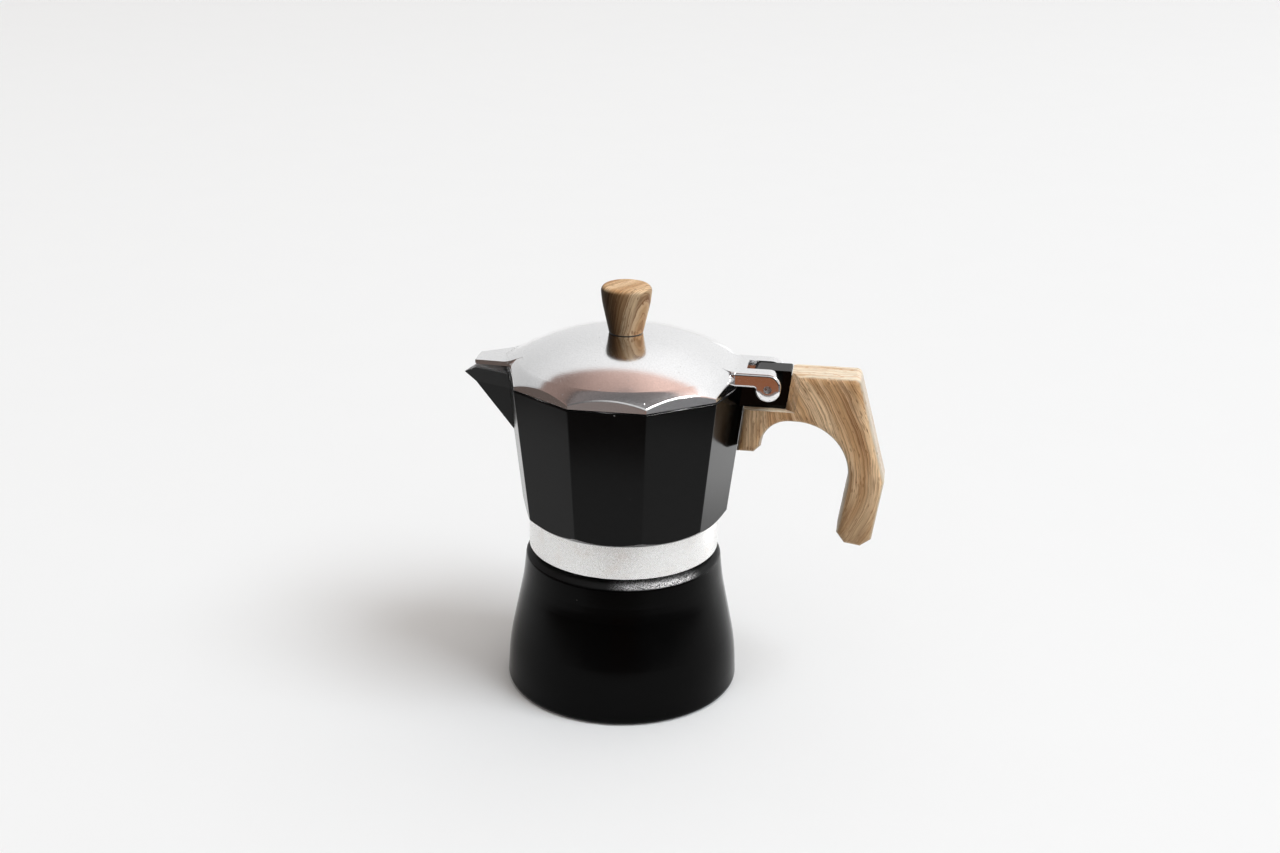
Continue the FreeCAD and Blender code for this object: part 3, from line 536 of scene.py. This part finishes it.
def wood_print(sheet, tones, grain, across, along, depth):
    """Wood-effect print whose lines follow a constant across: its colour and its relief."""

    def drawn(start, wide, long, deep):
        """A place that is drawn out along the grain."""
        return sheet.join(start * wide, along * long, depth * deep)

    pale, mid, dark = tones
    sway = (sheet.noise(sheet.place, 0.05, 2.0) - 0.5) * 3.0
    shiver = (sheet.noise(sheet.place, 0.4, 2.0) - 0.5) * 0.5
    run = (across + sway + shiver) / (grain.wood_line * MM)
    run = run + (sheet.noise(drawn(run, 0.45, 0.008, 0.02), 1.0, 2.0) - 0.5) * 3.0
    ring = run.math("FLOOR", run)
    chance = sheet.node("ShaderNodeTexWhiteNoise", {"noise_dimensions": "1D"}, {"W": ring})
    fade = sheet.noise(drawn(ring, 5.3, 0.045, 0.05), 1.0, 2.0).step(0.32, 0.6)
    line = (run - ring) ** 2.5 * (0.5 + chance * 0.5) * (0.4 + fade * 0.6)
    ground = sheet.noise(drawn(run, 0.22, 0.012, 0.06), 1.0, 3.0, 0.6)
    hair = sheet.noise(drawn(run, 1.7, 0.025, 0.2), 1.0, 2.0, 0.6)
    hair = abs(hair - 0.5).step(0.04, 0.0)
    fibre = sheet.noise(drawn(run, 5.0, 0.16, 1.4), 1.0, 4.0, 0.75) - 0.5
    pores = sheet.spots(drawn(run, 2.3, 0.36, 1.4), 1.0, 0.36, 0.5)
    colour = sheet.blend(ground.step(0.4, 0.6), pale, mid)
    colour = sheet.blend(ground.step(0.56, 0.76) * 0.45, colour, dark)
    colour = sheet.blend(line, colour, dark)
    colour = sheet.blend(hair * 0.55, colour, dark)
    colour = sheet.blend(pores * 0.6, colour, dark)
    colour = sheet.tint(colour, 1.0 + fibre * 0.9)
    height = fibre * 0.02 - line * 0.015 - pores * 0.02
    return colour, height


class POT_OT_handle(Operator):
    """Prints the handle with wood grain that follows its bend, with painted shade on its narrow faces
    that don't look up, low on the grip and next to the lug.
    """

    bl_idname = "coffee_pot.handle"
    bl_label = "Handle"

    def execute(self, context):
        colours, grain = context.scene.pot_colours, context.scene.pot_grain
        sheet = Finish("handle_print")
        tones = (colours.wood_pale, colours.wood_mid, colours.wood_dark)
        edge_tones = (colours.edge_pale, colours.edge_mid, colours.edge_dark)
        rise = sheet.z - HANDLE_BEND
        bow = rise * rise * (0.0088 + (rise < 0.0) * 0.007) * sheet.x.step(48.0, 66.0)
        side = wood_print(sheet, tones, grain, sheet.x + bow, sheet.z, sheet.y)
        across, along = sheet.y * 0.6 + 40.0, sheet.x - sheet.z
        edge = wood_print(sheet, edge_tones, grain, across, along, sheet.x * 0.1)
        share = abs(sheet.face_y).step(0.4, 0.8)
        # Painted shade: narrow faces that don't look up are darker than the top.
        shaded_edge_print = sheet.tint(edge[0], 0.64 + sheet.face_z.step(0.2, 0.8) * 0.36)
        # Painted shade: the grip turns towards the middle tone and darker near its foot, and darker
        # next to the lug.
        foot, lug_shade = sheet.z.step(104.0, 64.0), sheet.x.step(60.0, 48.0)
        grip_print_and_shade = sheet.blend(foot * 0.5, side[0], colours.wood_mid)
        grip_print_and_shade = sheet.tint(grip_print_and_shade, 1.06 - foot * 0.36 - lug_shade * 0.26)
        colour = sheet.blend(share, shaded_edge_print, grip_print_and_shade)
        height = edge[1] + (side[1] - edge[1]) * share
        rough = 0.42 + (sheet.noise(sheet.place, 0.8, 3.0) - 0.5) * 0.16
        dress(sheet.surface(colour, rough, 0.0, height, Specular_IOR_Level=0.15), "handle")
        return {"FINISHED"}


class POT_OT_knob(Operator):
    """Prints the knob with wood grain that runs aslant, and with painted shade on its sides that is
    darkest on the spout's side, away from the key light.
    """

    bl_idname = "coffee_pot.knob"
    bl_label = "Knob"

    def execute(self, context):
        colours, grain = context.scene.pot_colours, context.scene.pot_grain
        sheet = Finish("knob_print")
        grain_and_light_side = sheet.towards(KNOB_GRAIN_AND_LIGHT)
        across = grain_and_light_side * 1.6 - sheet.z * 0.5
        along = sheet.z + sheet.towards((-KNOB_GRAIN_AND_LIGHT[1], KNOB_GRAIN_AND_LIGHT[0]))
        tones = (colours.wood_pale, colours.wood_mid, colours.wood_dark)
        look = wood_print(sheet, tones, grain, across, along, sheet.y * 0.15)
        # Painted shade: the sides darken towards the spout's side, away from the key light; faces that
        # look up keep the print's own tone, a little lighter.
        shade = 0.1 + grain_and_light_side.step(-3.0, 9.0) * 0.5
        colour = sheet.tint(look[0], shade + (1.04 - shade) * sheet.face_z.step(0.3, 0.9))
        rough = 0.4 + (sheet.noise(sheet.place, 0.8, 3.0) - 0.5) * 0.16
        dress(sheet.surface(colour, rough, 0.0, look[1], Specular_IOR_Level=0.05), "knob")
        return {"FINISHED"}


class POT_OT_inner_pieces(Operator):
    """Finishes the funnel, its screen, the filter plate and the column as bare aluminium."""

    bl_idname = "coffee_pot.inner_pieces"
    bl_label = "Funnel, screens and column"

    def execute(self, context):
        colours, grain = context.scene.pot_colours, context.scene.pot_grain
        sheet = Finish("pressed_aluminium")
        colour, roughness, height = bare_cast(sheet, colours, grain)
        stain = sheet.noise(sheet.place, 0.09, 3.0, 0.6).step(0.52, 0.75)
        colour = sheet.blend(stain * 0.25, colour, (0.42, 0.36, 0.3))
        finish = sheet.surface(colour, roughness - 0.06, 1.0, height * 0.6)
        dress(finish, "funnel", "funnel_screen", "filter_plate", "riser_column")
        return {"FINISHED"}


def rubber(name, colour, roughness):
    """Moulded rubber or plastic with a dull, fine skin."""
    sheet = Finish(name)
    skin = sheet.noise(sheet.place, 1.8, 3.0) - 0.5
    bloom = sheet.noise(sheet.place, 0.2, 2.0) - 0.5
    shade = sheet.tint(colour, 1.0 + bloom * 0.4 + skin * 0.2)
    return sheet.surface(shade, roughness + skin * 0.12, 0.0, skin * 0.012, Specular_IOR_Level=0.35)


class POT_OT_seals(Operator):
    """Finishes the gasket, the valve's seal and washer, and the washer under the knob."""

    bl_idname = "coffee_pot.seals"
    bl_label = "Seals"

    def execute(self, context):
        colours = context.scene.pot_colours
        pale = rubber("pale_rubber_moulded", colours.pale_rubber, 0.6)
        dark = rubber("dark_rubber_moulded", colours.dark_rubber, 0.55)
        plastic = rubber("black_plastic_moulded", colours.dark_rubber, 0.45)
        dress(pale, "gasket")
        dress(dark, "valve_seal", "valve_washer")
        dress(plastic, "knob_washer")
        return {"FINISHED"}


def bar_metal(name, colour, spacing, axis):
    """Metal turned about a pin's or a screw's own axis, slightly tarnished."""
    sheet = Finish(name)
    x, y, z = sheet.x, sheet.y, sheet.z
    along = {"X": x, "Y": y, "Z": z}[axis] / spacing
    lines = sheet.noise(sheet.join(along, x * 0.3, (y + z) * 0.3), 1.0, 3.0, 0.6) - 0.5
    tarnish = sheet.noise(sheet.place, 0.5, 3.0, 0.6)
    shade = sheet.tint(colour, 1.05 + lines * 0.16 - tarnish.step(0.45, 0.8) * 0.35)
    roughness = 0.26 + lines * 0.16 + tarnish.step(0.4, 0.8) * 0.2
    return sheet.surface(shade, roughness, 1.0, lines * 0.006)


def new_mesh(name, shape):
    """An object at the origin that holds a bmesh."""
    mesh = bpy.data.meshes.new(name)
    shape.to_mesh(mesh)
    shape.free()
    piece = bpy.data.objects.new(name, mesh)
    bpy.context.scene.collection.objects.link(piece)
    return piece


def wind_spring():
    """The valve's spring, wound as a coil of wire where the CAD spring stands and fixed to the boiler.
    """
    low, high = (Vector(corner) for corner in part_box("valve_spring"))
    wire, steps = SPRING_WIRE / MM, SPRING_TURNS * SPRING_STEPS
    length = high.y - low.y
    start = Vector((high.x - wire, low.y + wire, (low.z + high.z) / 2))
    middle = Vector((0, start.y, start.z))
    rise = Vector((0, (length - wire * 2) / steps, 0))
    shape = bmesh.new()
    section = Matrix.Translation(start)
    bmesh.ops.create_circle(shape, segments=WIRE_SIDES, radius=wire, matrix=section)
    bmesh.ops.spin(shape, geom=shape.edges[:], cent=middle, axis=(0, 1, 0), dvec=rise,
                   angle=math.tau * SPRING_TURNS, steps=steps)
    bmesh.ops.holes_fill(shape, edges=shape.edges[:])
    bmesh.ops.recalc_face_normals(shape, faces=shape.faces[:])
    for face in shape.faces:
        face.smooth = True
    spring = new_mesh("valve_coil", shape)
    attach(spring, "boiler")
    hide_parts("valve_spring")
    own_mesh(spring)
    return spring


class POT_OT_valve(Operator):
    """Winds the safety valve's spring and finishes the valve's brass and steel."""

    bl_idname = "coffee_pot.valve"
    bl_label = "Safety valve"

    def execute(self, context):
        colours, grain = context.scene.pot_colours, context.scene.pot_grain
        spacing = grain.turned_line * MM
        dress(bar_metal("valve_brass", colours.brass, spacing, "Y"), "valve_body", "valve_cap")
        steel = bar_metal("valve_steel", colours.steel, spacing, "Y")
        dress(steel, "valve_plunger", "valve_spring")
        wind_spring().data.materials.append(steel)
        return {"FINISHED"}


class POT_OT_fasteners(Operator):
    """Finishes the hinge pin, the screws and the handle's washer."""

    bl_idname = "coffee_pot.fasteners"
    bl_label = "Pin and screws"

    def execute(self, context):
        colours, grain = context.scene.pot_colours, context.scene.pot_grain
        spacing = grain.turned_line * MM
        dress(bar_metal("pin_steel", colours.steel, spacing, "Y"), "hinge_pin")
        screw = bar_metal("screw_steel", colours.steel, spacing, "Z")
        dress(screw, "knob_screw", "handle_screw", "handle_washer")
        return {"FINISHED"}


def brown_table(sheet):
    """The table past the paper, which only reflections and soft light meet."""
    brown = sheet.blend(sheet.x.step(-200.0, -280.0), (0.21, 0.18, 0.17), (0.115, 0.09, 0.08))
    warm = sheet.x.step(-40.0, 0.0) * sheet.y.step(-300.0, -340.0)
    brown = sheet.blend(warm, brown, (0.26, 0.095, 0.043))
    brown = sheet.blend(sheet.x.step(120.0, 200.0), brown, (0.2, 0.2, 0.205))
    brown = sheet.tint(brown, 1.0 - sheet.y.step(-420.0, -500.0) * 0.85)
    sockets = {"Base Color": brown, "Roughness": 0.6, "Specular IOR Level": 0.0}
    return sheet.node("ShaderNodeBsdfPrincipled", {}, sockets)


def pale_paper(sheet, colour, mirrored):
    """The paper under the pot, which glows in reflections behind the handle: a painted reflection of
    light.
    """
    fleck = sheet.noise(sheet.place, 0.02, 3.0) - 0.5
    # Painted reflection: a patch behind the handle glows, in reflections only.
    reflected_glow = mirrored * sheet.x.step(105.0, 160.0) * sheet.y.step(60.0, 110.0)
    sockets = {
        "Base Color": sheet.tint(colour, 1.0 + fleck * 0.012),
        "Roughness": 0.75,
        "Specular IOR Level": 0.0,
        "Emission Color": sheet.join(reflected_glow, reflected_glow, reflected_glow),
        "Emission Strength": 0.9,
    }
    return sheet.node("ShaderNodeBsdfPrincipled", {}, sockets)


def lay_floor(settings):
    """Pale floor, plain to the camera. Reflections show where its paper ends on a brown table."""
    shape = bmesh.new()
    bmesh.ops.create_circle(shape, cap_ends=True, segments=FLOOR_SIDES, radius=settings.floor_radius)
    floor = new_mesh("floor", shape)
    sheet = Finish("floor_paper")
    seen, _, spread, mirrored = sheet.outputs(sheet.node("ShaderNodeLightPath"))[:4]
    front = sheet.y.step(-182.0, -212.0)
    round_edge = sheet.radius.step(222.0, 260.0) * sheet.y.step(-30.0, -80.0)
    left = sheet.x.step(-230.0, -310.0) * sheet.y.step(420.0, 300.0)
    right = sheet.x.step(215.0, 255.0) * sheet.y.step(60.0, 20.0)
    beyond = front.most(round_edge).most(left).most(right) * mirrored
    beyond = beyond + sheet.radius.step(380.0, 460.0) * spread
    paper = pale_paper(sheet, settings.floor, mirrored)
    shader = sheet.node("ShaderNodeMixShader", {}, {0: beyond, 1: paper, 2: brown_table(sheet)})
    white = sheet.node("ShaderNodeEmission", {}, {"Color": rgba(PALE_GROUND)})
    far = seen * sheet.radius.step(2200.0, 4500.0)
    shader = sheet.node("ShaderNodeMixShader", {}, {0: far, 1: shader, 2: white})
    sheet.node("ShaderNodeOutputMaterial", {}, {"Surface": shader})
    floor.data.materials.append(sheet.material)


def hang_room(away, right):
    """A white wall behind the pot and a dim, warm room behind the camera, which sees plain white."""
    world = bpy.data.worlds.new("studio")
    bpy.context.scene.world = world
    world.use_nodes = True
    sheet = Sheet(world.node_tree)
    look = sheet.node("ShaderNodeTexCoord")
    across = sheet.dot(look, right)
    _, _, rise = sheet.split(look)
    wide = (abs(across) - 0.4).most(0.0)
    depth = sheet.dot(look, away + right * 0.14) + across * across * 0.12 + wide * 0.9
    ahead = sheet.dot(look, away)
    front = ahead + abs(across) * 0.65
    stops = [
        (-1.0, (0.04, 0.038, 0.037)),
        (-0.3, (0.15, 0.14, 0.14)),
        (0.2, (0.21, 0.182, 0.178)),
        (0.29, (0.52, 0.365, 0.32)),
        (0.5, (0.66, 0.46, 0.40)),
    ]
    stops = [((place + 1.0) / 2.0, colour) for place, colour in stops]
    room = sheet.node("ShaderNodeValToRGB", {"stops": stops}, {"Fac": (front + 1.0) * 0.5})
    wall = depth.step(0.472, 0.54)
    room = sheet.blend(wall, room, WHITE)
    glow = ahead.step(-0.38, -0.5) * ahead.step(-0.97, -0.85) * across.step(-0.5, -0.1)
    room = sheet.blend(glow * 0.6, room, WHITE)
    side = 1.0 + across * (1.7 - wall * 1.25) * front.step(0.12, 0.3)
    side = side.most(0.4).least(1.35 - wall * 0.25)
    side = side * (1.0 - wall * (0.18 - rise.step(0.4, 0.85) * 0.12))
    seen, _, diffuse = sheet.outputs(sheet.node("ShaderNodeLightPath"))[:3]
    level = 1.0 - diffuse * (0.92 - across.step(-0.2, 0.6) * 0.5)
    sockets = {"Color": sheet.tint(room, side), "Strength": level}
    room = sheet.node("ShaderNodeBackground", {}, sockets)
    sky = sheet.node("ShaderNodeBackground", {}, {"Color": rgba((1.0, 0.945, 0.905))})
    fill = rise.step(0.36, 0.76) * diffuse * (0.93 + across * 0.65).least(1.0)
    room = sheet.node("ShaderNodeMixShader", {}, {0: fill, 1: room, 2: sky})
    white = sheet.node("ShaderNodeBackground", {}, {"Color": rgba(PALE_GROUND)})
    shader = sheet.node("ShaderNodeMixShader", {}, {0: seen, 1: room, 2: white})
    sheet.node("ShaderNodeOutputWorld", {}, {"Surface": shader})


def set_camera(settings):
    """The photograph's camera."""
    data = bpy.data.cameras.new("camera")
    data.sensor_width = SENSOR_WIDTH
    data.lens = settings.lens
    camera = bpy.data.objects.new("camera", data)
    bpy.context.scene.collection.objects.link(camera)
    place, aim = Vector(settings.camera_place), Vector(settings.camera_aim)
    roll = Quaternion((0, 0, 1), settings.camera_roll)
    camera.rotation_mode = "QUATERNION"
    camera.location = place
    camera.rotation_quaternion = (aim - place).to_track_quat("-Z", "Y") @ roll
    bpy.context.scene.camera = camera


def hang_light(name, length, width, power, towards, distance):
    """A flat light that faces the pot, with its length level."""
    data = bpy.data.lights.new(name, "AREA")
    data.shape = "RECTANGLE"
    data.size = length
    data.size_y = width
    data.energy = power
    light = bpy.data.objects.new(name, data)
    bpy.context.scene.collection.objects.link(light)
    light.location = POT_MIDDLE + towards * distance
    light.rotation_mode = "QUATERNION"
    light.rotation_quaternion = (-towards).to_track_quat("-Z", "Y")
    return light


def bearing(away, right, turn, rise):
    """The way to a light that stands right of the camera and over the horizon."""
    flat = right * math.sin(turn) - away * math.cos(turn)
    return flat * math.cos(rise) + UP * math.sin(rise)


def hang_lights(settings, away, right):
    """A large soft light, high on the camera's right, and a strip light below it for the glints."""
    towards = bearing(away, right, settings.key_turn, settings.key_rise)
    size, distance = settings.key_size, settings.light_distance
    key = hang_light("key_light", size, size, settings.key_power, towards, distance)
    key.data.color = settings.key_colour
    key.visible_glossy = False
    towards = bearing(away, right, settings.strip_turn, settings.strip_rise)
    length, width = settings.strip_length, settings.strip_width
    strip = hang_light("strip_light", length, width, settings.strip_power, towards, distance)
    strip.visible_diffuse = False


class POT_OT_stage(Operator):
    """Lays the floor, hangs the lights and sets the camera."""

    bl_idname = "coffee_pot.stage"
    bl_label = "Stage"

    def execute(self, context):
        settings = context.scene.pot_stage
        context.scene.view_settings.view_transform = "Standard"
        away = Vector(settings.camera_aim) - Vector(settings.camera_place)
        away.z = 0
        away.normalize()
        right = away.cross(UP)
        lay_floor(settings)
        hang_room(away, right)
        hang_lights(settings, away, right)
        set_camera(settings)
        return {"FINISHED"}


OPERATORS = (
    POT_OT_boiler,
    POT_OT_collector,
    POT_OT_lid,
    POT_OT_handle,
    POT_OT_knob,
    POT_OT_inner_pieces,
    POT_OT_seals,
    POT_OT_valve,
    POT_OT_fasteners,
    POT_OT_stage,
)


class POT_PT_panel(Panel):
    """Lists the pot's pieces and its settings."""

    bl_idname = "POT_PT_panel"
    bl_label = "Coffee pot"
    bl_space_type = "VIEW_3D"
    bl_region_type = "UI"
    bl_category = "Coffee pot"

    def draw(self, context):
        for group in GROUPS:
            settings = getattr(context.scene, group)
            box = self.layout.box()
            for name in settings.__annotations__:
                box.prop(settings, name)
        for operator in OPERATORS:
            self.layout.operator(operator.bl_idname)


GROUPS = {"pot_colours": PotColours, "pot_grain": PotGrain, "pot_stage": PotStage}
CLASSES = (*GROUPS.values(), *OPERATORS, POT_PT_panel)


def register():
    for cls in CLASSES:
        bpy.utils.register_class(cls)
    for name, group in GROUPS.items():
        setattr(bpy.types.Scene, name, PointerProperty(type=group))


def unregister():
    for name in GROUPS:
        delattr(bpy.types.Scene, name)
    for cls in reversed(CLASSES):
        bpy.utils.unregister_class(cls)


def main():
    register()
    for operator in OPERATORS:
        getattr(bpy.ops.coffee_pot, operator.bl_idname.split(".")[1])()


if __name__ == "__main__":
    main()
